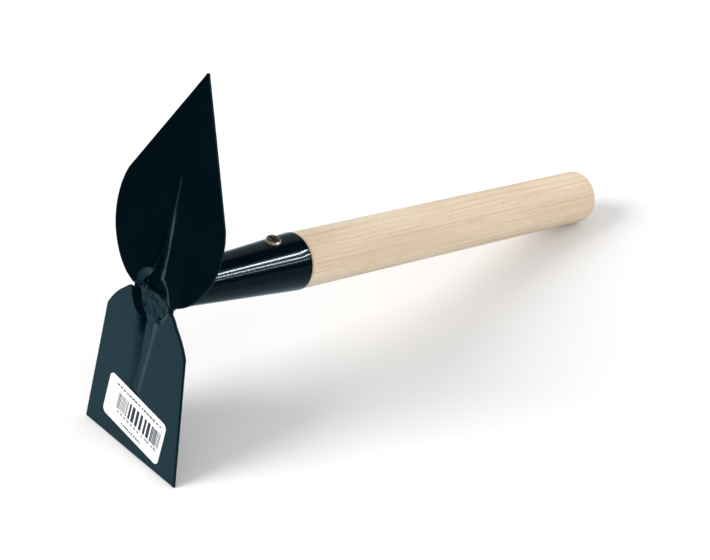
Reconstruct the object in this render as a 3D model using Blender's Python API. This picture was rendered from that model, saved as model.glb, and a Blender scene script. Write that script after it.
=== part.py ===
# Double-headed hand hoe: a square hoe blade and a heart-shaped blade, pressed from sheet
# steel, welded together across a dish and onto a rolled conical socket, with a short beech
# handle held by one screw. Metres, +Z up. It rests as it would on a floor, on the hoe's
# cutting edge and on the far end of the handle, with its origin under the middle of its box.
#
# The pieces are placed in the tool's own axes, on the empty called tool: +X along the
# handle from the blades to the butt, +Y across the blades, and the origin on the handle's
# axis abreast of the waist, the narrow place where the two blades meet.

from math import asin, atan2, cos, hypot, pi, radians, sin, sqrt

import bmesh
import bpy
from mathutils import Matrix, Vector

# Common sizes
SHEET = 0.0015              # steel of both blades
FIT = 0.0003                # gap between pieces that touch
WAIST_WIDTH = 0.0312        # both blades where they meet
WELD_GAP = 0.0024           # left between the blades for the seam weld
AXIS_RISE = 0.0017          # handle's axis above the waist, on the heart blade's side

# Hoe blade, measured from the waist down
HOE_ANGLE = radians(89.8)   # between the blade and the handle
HOE_LENGTH = 0.0888
HOE_EDGE_WIDTH = 0.0765
HOE_SHOULDER_WIDTH = 0.0645
HOE_SHOULDER_DROP = 0.0190
HOE_SHOULDER_RADIUS = 0.0425

# Heart blade, measured from the waist up
HEART_ANGLE = radians(82.1)
HEART_LENGTH = 0.1165
HEART_WIDTH = 0.0822
HEART_BELLY = 0.0380        # waist to the widest place
HEART_FLANK_START = 0.0525  # waist to where the straight flanks begin
LOBE_OFFSET = 0.0039        # centre of each round lobe from the centre line
TIP_WIDTH = 0.0006

# Dish pressed into both blades at the waist, hollow on the front
DISH_RADIUS = 0.0153
DISH_WALL = 0.0032          # run of the steep wall
DISH_DEPTH = 0.0052
DISH_BEND = 0.0010          # radius of the bends at the wall's lip and foot

# Groove pressed into each blade, which runs out of the dish and fades away
HOE_GROOVE_DEPTH = 0.0055   # depth and width are those at the waist
HOE_GROOVE_WIDTH = 0.0256
HOE_GROOVE_TAPER = 0.0930   # waist to where its sides would meet
HOE_GROOVE_LENGTH = 0.0570
HEART_GROOVE_DEPTH = 0.0026
HEART_GROOVE_WIDTH = 0.0204
HEART_GROOVE_TAPER = 0.1000
HEART_GROOVE_LENGTH = 0.0750
GROOVE_FALL = 1.5           # power of the curve that the depth falls along

# Welds
BEAD_WIDTH = 0.0050
BEAD_HEIGHT = 0.0014
BEAD_END_HEIGHT = 0.0003    # at the waist's notches
BEAD_SETBACK = 0.0009       # each end of the bead from its notch
BEAD_RUN_IN = 0.0048        # length over which each end grows to the full height
BEAD_ROOT = 0.0008          # width of the weld that reaches between the blades
COLLAR_THROAT = 0.0030      # how far the weld round the socket spreads over the dish
COLLAR_CLIMB = 0.0042       # and how far it climbs the socket
COLLAR_EDGE = 0.0004        # thickness where it ends on the socket

# Socket
SOCKET_MOUTH = 0.0919       # waist to the mouth
SOCKET_MOUTH_RADIUS = 0.0155
SOCKET_WAIST_RADIUS = 0.0089
SOCKET_WALL = 0.0015
SOCKET_SEAM = 0.0007        # open seam of the rolled sheet, on the underside

# Handle
HANDLE_RADIUS = 0.0150
GRIP_LENGTH = 0.2228        # socket's mouth to the butt
TENON_LENGTH = 0.0640       # inside the socket
TENON_CHAMFER = 0.0014
BUTT_ROUND = 0.0030
SHOULDER_ROUND = 0.0008

# Screw through the top of the socket
SCREW_SETBACK = 0.0169      # from the socket's mouth
SCREW_HEAD_RADIUS = 0.0042
SCREW_HEAD_HEIGHT = 0.0027
SCREW_HEAD_ROUND = 0.0015   # height of the rounded top of the head
SCREW_HEAD_FLAT = 0.0020    # radius of the flat on top
SCREW_SHANK_RADIUS = 0.0020
SCREW_LENGTH = 0.0200
SCREW_POINT = 0.0050        # length of the point
RECESS_LENGTH = 0.0046
RECESS_WIDTH = 0.0010
RECESS_DEPTH = 0.0015
RECESS_TURN = radians(25)

# Paper label on the front of the hoe blade
LABEL_WIDTH = 0.0488
LABEL_HEIGHT = 0.0252
LABEL_CORNER = 0.0030
LABEL_THICKNESS = 0.0003
LABEL_RISE = 0.0201         # cutting edge to the label's centre
LABEL_SIDE = -0.0011        # label's centre from the blade's centre line
LABEL_TURN = radians(7.5)

# Fineness of the surfaces
SMOOTH_UP_TO = radians(40)  # sharpest fold that is shaded smooth
ROUND_SIDES = 48
SMALL_SIDES = 20
ARC_STEPS = 5
DISH_STEP = 0.0014          # along a blade, over the dish's floor
WALL_STEP = 0.0006          # along a blade, over the dish's wall
GROOVE_STEP = 0.0035        # along a blade, over a groove
WALL_COUNT = 6              # across a blade, from the foot of a wall to its lip
LEAST_LIP = 0.1             # place of a wall's lip, as a share of the half-width there
MOST_LIP = 0.96
LEAST_FOOT = 0.15           # place of a wall's foot, as a share of the place of its lip
MOST_FOOT = 0.8

TRIM = WELD_GAP / 2
WAIST = Vector((0, 0, -AXIS_RISE))
SOCKET_SLOPE = (SOCKET_MOUTH_RADIUS - SOCKET_WAIST_RADIUS) / SOCKET_MOUTH


def clear_scene():
    for obj in list(bpy.data.objects):
        bpy.data.objects.remove(obj, do_unlink=True)


def material(name, color, roughness, metallic=0.0):
    made = bpy.data.materials.new(name)
    made.use_nodes = True
    shader = made.node_tree.nodes["Principled BSDF"]
    shader.inputs["Base Color"].default_value = (*color, 1)
    shader.inputs["Roughness"].default_value = roughness
    shader.inputs["Metallic"].default_value = metallic
    return made


def add_object(name, bm, parent, finish=None):
    """Turns a bmesh into an object on its parent, with its normals facing out."""
    bmesh.ops.recalc_face_normals(bm, faces=bm.faces[:])
    mesh = bpy.data.meshes.new(name)
    bm.to_mesh(mesh)
    bm.free()
    mesh.shade_smooth()
    mesh.set_sharp_from_angle(angle=SMOOTH_UP_TO)
    if finish:
        mesh.materials.append(finish)
    obj = bpy.data.objects.new(name, mesh)
    bpy.context.collection.objects.link(obj)
    obj.parent = parent
    return obj


def add_cutter(name, bm, parent):
    obj = add_object(name, bm, parent)
    obj.hide_render = True
    obj.display_type = "WIRE"
    return obj


def cut(obj, cutter):
    modifier = obj.modifiers.new(cutter.name, "BOOLEAN")
    modifier.operation = "DIFFERENCE"
    modifier.object = cutter


def turned(profile, sides):
    """Spins a closed outline of (x, radius) points about the X axis."""
    bm = bmesh.new()
    points = [bm.verts.new((x, 0, radius)) for x, radius in profile]
    edges = [bm.edges.new(pair) for pair in zip(points, points[1:])]
    if min(radius for x, radius in (profile[0], profile[-1])) > 0:
        edges.append(bm.edges.new((points[-1], points[0])))
    bmesh.ops.spin(
        bm, geom=points + edges, cent=(0, 0, 0), axis=(1, 0, 0),
        angle=2 * pi, steps=sides, use_merge=True,
    )
    bmesh.ops.remove_doubles(bm, verts=bm.verts[:], dist=1e-6)
    return bm


def prism(outline, axis, half_depth):
    """Extrudes a flat outline of points both ways along an axis."""
    bm = bmesh.new()
    face = bm.faces.new([bm.verts.new(point) for point in outline])
    bmesh.ops.translate(bm, verts=bm.verts[:], vec=-half_depth * axis)
    grown = bmesh.ops.extrude_face_region(bm, geom=[face], use_keep_orig=True)["geom"]
    far_points = [item for item in grown if isinstance(item, bmesh.types.BMVert)]
    bmesh.ops.translate(bm, verts=far_points, vec=2 * half_depth * axis)
    return bm


def skin(rows, closed):
    """Joins rows of points into a sheet or, when each row is a closed ring, a capped tube."""
    bm = bmesh.new()
    grid = [[bm.verts.new(point) for point in row] for row in rows]
    count = len(grid[0])
    for row, following in zip(grid, grid[1:]):
        for i in range(count if closed else count - 1):
            j = (i + 1) % count
            bm.faces.new((row[i], row[j], following[j], following[i]))
    if closed:
        bm.faces.new(grid[0])
        bm.faces.new(grid[-1])
    return bm


def smooth_step(share):
    share = min(max(share, 0), 1)
    return share * share * (3 - 2 * share)


def span(start, end, step):
    """Evenly spaced values from start up to, and without, end."""
    count = max(1, round((end - start) / step))
    return [start + (end - start) * i / count for i in range(count)]


# Blades. In a blade's own axes X runs from the waist outwards and Y across it.


def dish_depth(reach):
    """Depth of the sheet's middle: an arc at the lip, a straight wall and an arc at the foot."""
    inward = DISH_RADIUS - reach
    rise = DISH_DEPTH - 2 * DISH_BEND
    steepest = atan2(rise, DISH_WALL) + asin(2 * DISH_BEND / hypot(rise, DISH_WALL))
    arc_run = DISH_BEND * sin(steepest)
    if inward <= 0:
        return 0
    if inward >= DISH_WALL:
        return DISH_DEPTH
    if inward < arc_run:
        return DISH_BEND - sqrt(DISH_BEND**2 - inward**2)
    if inward > DISH_WALL - arc_run:
        return DISH_DEPTH - DISH_BEND + sqrt(DISH_BEND**2 - (DISH_WALL - inward) ** 2)
    share = (inward - arc_run) / (DISH_WALL - 2 * arc_run)
    arc_rise = DISH_BEND * (1 - cos(steepest))
    return arc_rise + share * (DISH_DEPTH - 2 * arc_rise)


def groove_half_width(along, width, taper):
    return max(width / 2 * (1 - along / taper), 0)


def groove_depth(along, across, depth, width, taper, length):
    half = groove_half_width(along, width, taper)
    if half == 0 or along >= length:
        return 0
    return depth * (1 - along / length) ** GROOVE_FALL * smooth_step(1 - abs(across) / half)


def half_chord(radius, along):
    return sqrt(radius * radius - along * along) if radius > along else 0


def row_across(along, half_width, groove):
    """Places across half of a blade, from its centre line to its edge."""
    width, taper, length = groove[1:]
    lip = half_chord(DISH_RADIUS, along)
    if along < length:
        lip = max(lip, groove_half_width(along, width, taper))
    lip = min(max(lip, LEAST_LIP * half_width), MOST_LIP * half_width)
    foot = half_chord(DISH_RADIUS - DISH_WALL, along)
    foot = min(max(foot, LEAST_FOOT * lip), MOST_FOOT * lip)
    wall = [foot + (lip - foot) * i / WALL_COUNT for i in range(WALL_COUNT + 1)]
    return [foot / 2, *wall, (lip + half_width) / 2, half_width]


def blade_sheet(stations, half_width, groove, pressed_towards):
    rows = []
    for along in stations:
        half_row = row_across(along, half_width(along), groove)
        row = []
        for across in [-place for place in reversed(half_row)] + [0] + half_row:
            depth = max(
                dish_depth(hypot(along, across)), groove_depth(along, across, *groove)
            )
            row.append((along, across, pressed_towards * depth))
        rows.append(row)
    return skin(rows, closed=False)


def dish_stations():
    """Places along a blade over its half of the dish."""
    foot = DISH_RADIUS - DISH_WALL
    return [*span(TRIM, foot, DISH_STEP), *span(foot, DISH_RADIUS, WALL_STEP)]


def add_blade(name, sheet, turn, parent, finish):
    blade = add_object(name, sheet, parent, finish)
    blade.location = WAIST
    blade.rotation_euler.y = turn
    thickness = blade.modifiers.new("sheet thickness", "SOLIDIFY")
    thickness.thickness = SHEET
    thickness.offset = 0
    thickness.use_even_offset = True
    return blade


def hoe_half_width(along):
    """A bulging arc from the waist to each shoulder, then straight to the cutting edge."""
    if along >= HOE_SHOULDER_DROP:
        share = (along - HOE_SHOULDER_DROP) / (HOE_LENGTH - HOE_SHOULDER_DROP)
        return (HOE_SHOULDER_WIDTH + share * (HOE_EDGE_WIDTH - HOE_SHOULDER_WIDTH)) / 2
    start = Vector((TRIM, WAIST_WIDTH / 2))
    end = Vector((HOE_SHOULDER_DROP, HOE_SHOULDER_WIDTH / 2))
    chord = end - start
    inward = Vector((chord.y, -chord.x)).normalized()
    centre = (start + end) / 2 + inward * sqrt(HOE_SHOULDER_RADIUS**2 - chord.length_squared / 4)
    return centre.y + sqrt(HOE_SHOULDER_RADIUS**2 - (along - centre.x) ** 2)


def heart_half_width(along):
    """An elliptical lobe on each side from the waist, then straight flanks to the tip."""
    lobe_width = HEART_WIDTH / 2 - LOBE_OFFSET
    waist_share = (WAIST_WIDTH / 2 - LOBE_OFFSET) / lobe_width
    lobe_length = (HEART_BELLY - TRIM) / sqrt(1 - waist_share**2)

    def lobe(place):
        return LOBE_OFFSET + lobe_width * sqrt(1 - ((place - HEART_BELLY) / lobe_length) ** 2)

    if along <= HEART_FLANK_START:
        return lobe(along)
    share = (along - HEART_FLANK_START) / (HEART_LENGTH - HEART_FLANK_START)
    return lobe(HEART_FLANK_START) * (1 - share) + share * TIP_WIDTH / 2


def add_hoe_blade(parent, finish):
    groove = (HOE_GROOVE_DEPTH, HOE_GROOVE_WIDTH, HOE_GROOVE_TAPER, HOE_GROOVE_LENGTH)
    stations = [
        *dish_stations(),
        *span(DISH_RADIUS, HOE_SHOULDER_DROP, GROOVE_STEP / 2),
        *span(HOE_SHOULDER_DROP, HOE_GROOVE_LENGTH, GROOVE_STEP),
        HOE_GROOVE_LENGTH,
        HOE_LENGTH,
    ]
    sheet = blade_sheet(stations, hoe_half_width, groove, pressed_towards=1)
    return add_blade("hoe_blade", sheet, HOE_ANGLE, parent, finish)


def add_heart_blade(parent, finish):
    groove = (HEART_GROOVE_DEPTH, HEART_GROOVE_WIDTH, HEART_GROOVE_TAPER, HEART_GROOVE_LENGTH)
    stations = [
        *dish_stations(),
        *span(DISH_RADIUS, HEART_FLANK_START, GROOVE_STEP),
        *span(HEART_FLANK_START, HEART_GROOVE_LENGTH, GROOVE_STEP),
        HEART_GROOVE_LENGTH,
        HEART_LENGTH,
    ]
    sheet = blade_sheet(stations, heart_half_width, groove, pressed_towards=-1)
    return add_blade("heart_blade", sheet, -HEART_ANGLE, parent, finish)


# Welds


def dish_front(up, across, out):
    """Point that lies out in front of the middle of the dished sheet, square to it."""
    reach = hypot(up, across)
    step = DISH_BEND / 50
    slope = (dish_depth(reach + step) - dish_depth(reach - step)) / (2 * step)
    front = Vector((-1, slope * across / reach, slope * up / reach)).normalized()
    return Vector((dish_depth(reach), across, up)) + out * front


def add_seam_weld(parent, finish):
    """A bead laid across the dish, with a thin root that reaches between the two blades."""
    lift = SHEET / 2 + FIT
    root = FIT - SHEET / 2
    half = BEAD_WIDTH / 2
    section = []
    for i in range(ARC_STEPS + 1):
        turn = pi * i / ARC_STEPS
        section.append((half * cos(turn), lift, sin(turn)))
    for up, out in ((-1, lift), (-1, root), (1, root), (1, lift)):
        section.append((up * BEAD_ROOT / 2, out, 0))
    reach = WAIST_WIDTH / 2 - BEAD_SETBACK
    foot = DISH_RADIUS - DISH_WALL
    half_row = [*span(0, foot, GROOVE_STEP), *span(foot, reach, WALL_STEP), reach]
    rows = []
    for across in [-place for place in reversed(half_row[1:])] + half_row:
        fullness = smooth_step((reach - abs(across)) / BEAD_RUN_IN)
        height = BEAD_END_HEIGHT + fullness * (BEAD_HEIGHT - BEAD_END_HEIGHT)
        rows.append([
            dish_front(up, across, out) + Vector((-swell * height, 0, 0))
            for up, out, swell in section
        ])
    bead = add_object("seam_weld", skin(rows, closed=True), parent, finish)
    bead.location = WAIST
    bead.rotation_euler.y = (HOE_ANGLE - HEART_ANGLE) / 2
    return bead


def socket_radius(x):
    """Outer radius of the conical socket."""
    return SOCKET_WAIST_RADIUS + SOCKET_SLOPE * x


def dish_back(angle, towards):
    """Point and direction, in the plane y = 0, of the back of one blade's dish."""
    along = Vector((cos(angle), 0, towards * sin(angle)))
    behind = Vector((sin(angle), 0, -towards * cos(angle)))
    return WAIST + (DISH_DEPTH + SHEET / 2 + FIT) * behind, along


def socket_start():
    """Where the socket's narrow end stops, just clear of the leaning heart blade's dish."""
    point, along = dish_back(HEART_ANGLE, 1)
    lean = along.x / along.z
    return (point.x + (SOCKET_WAIST_RADIUS - point.z) * lean) / (1 - SOCKET_SLOPE * lean)


def add_socket_weld(parent, finish):
    """A hollow fillet round the socket's narrow end, cut off where it meets the dish's back."""
    start = socket_start() - FIT
    bore = socket_radius(start) - SOCKET_WALL
    outside = socket_radius(start) + FIT
    foot = outside + COLLAR_THROAT
    top = start + COLLAR_CLIMB
    seat = socket_radius(top) + FIT
    profile = [(0, bore), (0, foot)]
    for i in range(ARC_STEPS + 1):
        turn = pi / 2 * i / ARC_STEPS
        profile.append((
            top - COLLAR_CLIMB * cos(turn),
            foot - (foot - seat - COLLAR_EDGE) * sin(turn),
        ))
    profile += [(top, seat), (start, outside), (start, bore)]
    collar = add_object("socket_weld", turned(profile, ROUND_SIDES), parent, finish)
    hoe_corner, hoe_along = dish_back(HOE_ANGLE, -1)
    heart_corner, heart_along = dish_back(HEART_ANGLE, 1)
    meeting = Vector((max(hoe_corner.x, heart_corner.x), 0, WAIST.z))
    reach = 3 * foot  # well past the collar
    front = Vector((-reach, 0, 0))
    outline = [
        meeting,
        meeting + reach * heart_along,
        meeting + reach * heart_along + front,
        meeting + reach * hoe_along + front,
        meeting + reach * hoe_along,
    ]
    cut(collar, add_cutter("dish_back", prism(outline, Vector((0, 1, 0)), reach), parent))
    return collar


# Socket, handle and screw


def add_socket(parent, finish):
    start = socket_start()
    profile = [
        (start, socket_radius(start) - SOCKET_WALL),
        (start, socket_radius(start)),
        (SOCKET_MOUTH, SOCKET_MOUTH_RADIUS),
        (SOCKET_MOUTH, SOCKET_MOUTH_RADIUS - SOCKET_WALL),
    ]
    socket = add_object("socket", turned(profile, ROUND_SIDES), parent, finish)
    past = 2 * SOCKET_MOUTH_RADIUS  # how far the cutter for the seam reaches past the socket
    seam = [
        Vector((start - past, -SOCKET_SEAM / 2, 0)),
        Vector((start - past, SOCKET_SEAM / 2, 0)),
        Vector((SOCKET_MOUTH + past, SOCKET_SEAM / 2, 0)),
        Vector((SOCKET_MOUTH + past, -SOCKET_SEAM / 2, 0)),
    ]
    cutter = add_cutter("socket_seam", prism(seam, Vector((0, 0, 1)), past / 2), parent)
    cutter.location.z = -past / 2
    cut(socket, cutter)
    return socket


def add_handle(parent, finish):
    mouth = SOCKET_MOUTH + FIT
    butt = SOCKET_MOUTH + GRIP_LENGTH
    tenon_end = SOCKET_MOUTH - TENON_LENGTH

    def tenon_radius(x):
        return socket_radius(x) - SOCKET_WALL - FIT

    profile = [
        (tenon_end, 0),
        (tenon_end, tenon_radius(tenon_end) - TENON_CHAMFER),
        (tenon_end + TENON_CHAMFER, tenon_radius(tenon_end + TENON_CHAMFER)),
        (mouth, tenon_radius(mouth)),
        (mouth, HANDLE_RADIUS - SHOULDER_ROUND),
        (mouth + SHOULDER_ROUND, HANDLE_RADIUS),
    ]
    for i in range(ARC_STEPS + 1):
        turn = pi / 2 * i / ARC_STEPS
        profile.append((
            butt - BUTT_ROUND * (1 - sin(turn)),
            HANDLE_RADIUS - BUTT_ROUND * (1 - cos(turn)),
        ))
    profile.append((butt, 0))
    return add_object("handle", turned(profile, ROUND_SIDES), parent, finish)


def add_screw(parent, finish):
    """Pan-head screw, standing square to the cone, in its own axes with +X out of the head."""
    profile = [
        (-SCREW_LENGTH, 0),
        (SCREW_POINT - SCREW_LENGTH, SCREW_SHANK_RADIUS),
        (0, SCREW_SHANK_RADIUS),
        (0, SCREW_HEAD_RADIUS),
    ]
    for i in range(ARC_STEPS + 1):
        turn = pi / 2 * i / ARC_STEPS
        profile.append((
            SCREW_HEAD_HEIGHT - SCREW_HEAD_ROUND * (1 - sin(turn)),
            SCREW_HEAD_FLAT + (SCREW_HEAD_RADIUS - SCREW_HEAD_FLAT) * cos(turn),
        ))
    profile.append((SCREW_HEAD_HEIGHT, 0))
    screw = add_object("fixing_screw", turned(profile, SMALL_SIDES), parent, finish)
    x = SOCKET_MOUTH - SCREW_SETBACK
    lean = atan2(SOCKET_SLOPE, 1)
    screw.location = (x, 0, socket_radius(x) + FIT * cos(lean))
    screw.rotation_euler.y = -pi / 2 - lean
    arm = RECESS_LENGTH / 2
    half = RECESS_WIDTH / 2
    cross = []
    for quarter in range(4):
        turned_by = Matrix.Rotation(quarter * pi / 2, 3, "X")
        for place in ((0, half, half), (0, half, arm), (0, -half, arm)):
            cross.append(turned_by @ Vector(place))
    recess = add_cutter("screw_recess", prism(cross, Vector((1, 0, 0)), RECESS_DEPTH), screw)
    recess.location.x = SCREW_HEAD_HEIGHT
    recess.rotation_euler.x = RECESS_TURN
    cut(screw, recess)
    return screw


def add_screw_hole(screw, pieces):
    """One drilled way for the shank, through the socket and into the tenon."""
    radius = SCREW_SHANK_RADIUS + FIT
    profile = [
        (-SCREW_LENGTH - 4 * FIT, 0),
        (SCREW_POINT - SCREW_LENGTH, radius),
        (SCREW_HEAD_HEIGHT, radius),
        (SCREW_HEAD_HEIGHT, 0),
    ]
    cutter = add_cutter("screw_hole", turned(profile, SMALL_SIDES), screw)
    for piece in pieces:
        cut(piece, cutter)


def add_label(blade, finish):
    half_height = LABEL_HEIGHT / 2 - LABEL_CORNER
    half_width = LABEL_WIDTH / 2 - LABEL_CORNER
    outline = []
    for quarter, (x, y) in enumerate(((1, 1), (-1, 1), (-1, -1), (1, -1))):
        for i in range(ARC_STEPS):
            turn = pi / 2 * (quarter + i / (ARC_STEPS - 1))
            outline.append(Vector((
                x * half_height + LABEL_CORNER * cos(turn),
                y * half_width + LABEL_CORNER * sin(turn),
                0,
            )))
    sheet = prism(outline, Vector((0, 0, 1)), LABEL_THICKNESS / 2)
    label = add_object("label", sheet, blade, finish)
    front = SHEET / 2 + FIT + LABEL_THICKNESS / 2
    label.location = (HOE_LENGTH - LABEL_RISE, LABEL_SIDE, -front)
    label.rotation_euler.z = LABEL_TURN
    return label


# Rest


def rest_tilt():
    """Turn about Y that puts the hoe's cutting edge and the rounded butt on one floor."""
    edge = WAIST + HOE_LENGTH * Vector((cos(HOE_ANGLE), 0, -sin(HOE_ANGLE)))
    edge += SHEET / 2 * Vector((sin(HOE_ANGLE), 0, cos(HOE_ANGLE)))
    butt_centre = Vector(
        (SOCKET_MOUTH + GRIP_LENGTH - BUTT_ROUND, 0, BUTT_ROUND - HANDLE_RADIUS)
    )
    between = butt_centre - edge
    return atan2(between.z, between.x) - asin(BUTT_ROUND / between.length)


def stand_on_floor(tool, pieces):
    """Moves the whole tool so that the origin lies under the middle of its box."""
    bpy.context.view_layer.update()
    graph = bpy.context.evaluated_depsgraph_get()
    points = []
    for piece in pieces:
        shown = piece.evaluated_get(graph)
        points += [shown.matrix_world @ vertex.co for vertex in shown.data.vertices]
    low = Vector([min(point[i] for point in points) for i in range(3)])
    high = Vector([max(point[i] for point in points) for i in range(3)])
    tool.location -= Vector(((low.x + high.x) / 2, (low.y + high.y) / 2, low.z))


def main():
    clear_scene()
    paint = material("black_green_paint", (0.010, 0.016, 0.018), 0.28)
    weld_paint = material("painted_weld", (0.012, 0.018, 0.020), 0.38)
    socket_paint = material("socket_paint", (0.006, 0.009, 0.012), 0.2)
    beech = material("beech", (0.78, 0.62, 0.45), 0.55)
    zinc = material("yellow_zinc", (0.60, 0.47, 0.22), 0.35, metallic=1.0)
    paper = material("label_paper", (0.86, 0.87, 0.87), 0.5)

    tool = bpy.data.objects.new("tool", None)
    bpy.context.collection.objects.link(tool)
    hoe = add_hoe_blade(tool, paint)
    heart = add_heart_blade(tool, paint)
    seam = add_seam_weld(tool, weld_paint)
    collar = add_socket_weld(tool, weld_paint)
    socket = add_socket(tool, socket_paint)
    handle = add_handle(tool, beech)
    screw = add_screw(tool, zinc)
    add_screw_hole(screw, (socket, handle))
    label = add_label(hoe, paper)
    tool.rotation_euler.y = rest_tilt()
    stand_on_floor(tool, (hoe, heart, seam, collar, socket, handle, screw, label))


main()
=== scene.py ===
# Looks for the double-headed hand hoe: pressed and painted blades, rolled socket, beech handle.
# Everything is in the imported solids' frame, in metres, but for the tables in mm().

from math import atan2, cos, hypot, pi, radians, sin, sqrt

import bmesh
import bpy
from mathutils import Matrix, Vector, noise


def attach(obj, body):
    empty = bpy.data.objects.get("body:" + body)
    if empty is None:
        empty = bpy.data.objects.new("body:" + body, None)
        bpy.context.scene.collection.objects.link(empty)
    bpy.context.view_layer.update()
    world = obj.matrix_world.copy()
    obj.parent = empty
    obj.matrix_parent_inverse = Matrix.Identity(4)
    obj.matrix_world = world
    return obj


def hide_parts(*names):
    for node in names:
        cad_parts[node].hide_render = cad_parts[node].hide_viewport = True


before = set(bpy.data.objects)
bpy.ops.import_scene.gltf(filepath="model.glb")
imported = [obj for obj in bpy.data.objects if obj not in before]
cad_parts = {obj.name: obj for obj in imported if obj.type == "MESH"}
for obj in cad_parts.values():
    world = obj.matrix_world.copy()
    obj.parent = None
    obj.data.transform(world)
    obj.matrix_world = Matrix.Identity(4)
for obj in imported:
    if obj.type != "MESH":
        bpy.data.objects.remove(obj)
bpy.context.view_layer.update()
print("loaded", len(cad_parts), "solids")

# The tool's own axes: +X along the handle, the origin on its axis abreast of the waist
tool = {
    "place": (-0.1434737, 0, 0.0881927),
    "tilt": radians(13.644945),
    "axisRise": 0.0017,      # handle's axis above the waist
    "trim": 0.0012,          # each blade stops this far from the waist line
    "waistWidth": 0.0312,
}
toolAxes = Matrix.Translation(tool["place"]) @ Matrix.Rotation(tool["tilt"], 4, "Y")
waistAxes = toolAxes @ Matrix.Translation((0, 0, -tool["axisRise"]))


# Nodes

# Adds a node. An input is a plain value, or the socket that feeds it.
def addNode(tree, kind, inputs=None, **settings):
    node = tree.nodes.new("ShaderNode" + kind)
    for key, value in settings.items():
        setattr(node, key, value)
    for key, value in (inputs or {}).items():
        if isinstance(value, bpy.types.NodeSocket):
            tree.links.new(value, node.inputs[key])
        else:
            node.inputs[key].default_value = value
    return node


def mathNode(tree, operation, first, second=0.0, third=0.0, clamp=False):
    values = {0: first, 1: second, 2: third}
    return addNode(tree, "Math", values, operation=operation, use_clamp=clamp).outputs[0]


def times(tree, first, second):
    return mathNode(tree, "MULTIPLY", first, second)


def ramp(tree, value, low, high, outLow=0.0, outHigh=1.0, kind="SMOOTHSTEP"):
    values = {"Value": value, "From Min": low, "From Max": high, "To Min": outLow, "To Max": outHigh}
    return addNode(tree, "MapRange", values, interpolation_type=kind).outputs["Result"]


# Spreads a noise, which keeps near its middle, between two values.
def spread(tree, pattern, low, high):
    return ramp(tree, pattern, 0.3, 0.7, low, high)


# The node's sockets for numbers, vectors and colours come one pair after another.
def mixed(tree, share, first, second, kind="RGBA"):
    pair = {"FLOAT": 1, "VECTOR": 2, "RGBA": 3}[kind]
    node = addNode(tree, "Mix", {0: share, 2 * pair: first, 2 * pair + 1: second}, data_type=kind)
    return node.outputs[pair - 1]


def noiseNode(tree, spot, scale, detail, roughness=0.5, output="Fac"):
    values = {"Vector": spot, "Scale": scale, "Detail": detail, "Roughness": roughness}
    return addNode(tree, "TexNoise", values).outputs[output]


def vectorNode(tree, operation, first, second=(0, 0, 0)):
    node = addNode(tree, "VectorMath", {0: first, 1: second}, operation=operation)
    return node.outputs["Value" if operation in ("DOT_PRODUCT", "LENGTH") else "Vector"]


# The last of what it returns is the place seen from axes, so that a pattern lies along the piece.
def startMaterial(name, constants, axes):
    made = bpy.data.materials.new(name)
    made.use_nodes = True
    tree = made.node_tree
    shader = tree.nodes["Principled BSDF"]
    for key, value in constants.items():
        shader.inputs[key].default_value = value
    inverse = axes.inverted()
    spot = addNode(tree, "TexCoord").outputs["Object"]
    values = {"Vector": spot, "Location": inverse.to_translation(), "Rotation": inverse.to_euler()}
    return made, tree, shader, addNode(tree, "Mapping", values).outputs["Vector"]


def stretched(tree, vector, scale):
    return vectorNode(tree, "MULTIPLY", vector, scale)


# Soft specks in a share of a pattern's cells: full up to the first radius, gone at the second.
def specks(tree, spot, size, share, first, last):
    cells = addNode(tree, "TexVoronoi", {"Vector": spot, "Scale": size})
    lot = addNode(tree, "TexWhiteNoise", {"Vector": cells.outputs["Position"]}).outputs["Value"]
    near = ramp(tree, cells.outputs["Distance"], first, last, 1.0, 0.0)
    return times(tree, near, mathNode(tree, "LESS_THAN", lot, share))


def dressShader(tree, shader, color, roughness, bump, height):
    relief = addNode(tree, "Bump", {"Strength": bump[0], "Distance": bump[1], "Height": height})
    normal = relief.outputs["Normal"]
    for key, value in (("Base Color", color), ("Roughness", roughness), ("Normal", normal)):
        tree.links.new(value, shader.inputs[key])


skin = {
    "given": ("peelSize", "waveSize", "waveShare", "dustSize", "dustShare"),  # each paint sets these
    "cloudSize": 34.0,
    "cloudRange": (0.34, 0.66),
    "dustEdge": (0.10, 0.24),
}


# Paint as it dries on steel: peel, slow waves, settled dust and a cloudy gloss.
def makeSkinGroup():
    tree = bpy.data.node_groups.new("paintSkin", "ShaderNodeTree")
    tree.interface.new_socket("Vector", in_out="INPUT", socket_type="NodeSocketVector")
    for name in skin["given"]:
        tree.interface.new_socket(name, in_out="INPUT", socket_type="NodeSocketFloat")
    for name in ("Height", "Dust", "Cloud"):
        tree.interface.new_socket(name, in_out="OUTPUT", socket_type="NodeSocketFloat")
    given = tree.nodes.new("NodeGroupInput").outputs
    end = tree.nodes.new("NodeGroupOutput")
    spot = given["Vector"]
    peel = noiseNode(tree, spot, given["peelSize"], 2.0)
    wave = noiseNode(tree, spot, given["waveSize"], 1.0)
    dust = specks(tree, spot, given["dustSize"], given["dustShare"], *skin["dustEdge"])
    cloud = noiseNode(tree, spot, skin["cloudSize"], 4.0, 0.62)
    tree.links.new(mixed(tree, given["waveShare"], peel, wave, "FLOAT"), end.inputs["Height"])
    tree.links.new(dust, end.inputs["Dust"])
    tree.links.new(ramp(tree, cloud, *skin["cloudRange"]), end.inputs["Cloud"])
    return tree


skinGroup = makeSkinGroup()


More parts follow.
